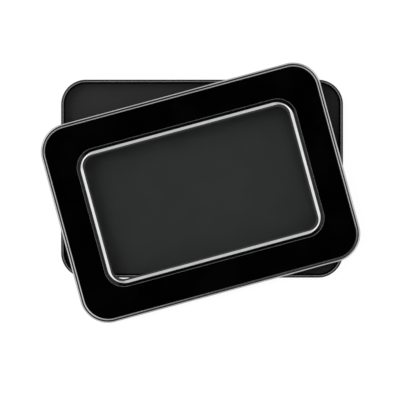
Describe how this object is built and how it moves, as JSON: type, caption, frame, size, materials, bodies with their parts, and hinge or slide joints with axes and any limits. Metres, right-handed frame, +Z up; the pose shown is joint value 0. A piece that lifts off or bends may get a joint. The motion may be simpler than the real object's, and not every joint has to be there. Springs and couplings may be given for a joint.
{
  "type": "palette tin",
  "caption": "Flat black tin palette with a magnetic floor sheet and a loose slip lid that has a clear framed window, lying turned across the tray.",
  "frame": {"origin": "middle of the plane that the tray stands on, under the middle of the tray", "axes": "+X along the tray's long side, +Y towards the back, which is up in the picture, +Z up out of the tray"},
  "size_m": [0.2378, 0.1937, 0.0213],
  "materials": {
    "black_lacquer": "gloss black lacquer on tinplate, bare tin inside the lid and on its rolled rim",
    "bright_tin": "polished bare tin",
    "magnet_rubber": "matte dark grey with a fine grain",
    "adhesive": "dark double-sided bonding film",
    "clear_plastic": "clear sheet, polished both sides"
  },
  "bodies": {
    "tray": {"base_tray": "black_lacquer", "sheet_adhesive": "adhesive", "magnetic_sheet": "magnet_rubber"},
    "lid": {"lid_shell": "black_lacquer", "window_bezel": "bright_tin", "window_tape": "adhesive", "window_pane": "clear_plastic"}
  },
  "joints": [
    {"name": "lid_lift", "type": "slide", "parent": "tray", "child": "lid", "axis": [0, 0, 1], "range_m": [0, 0.08]}
  ]
}
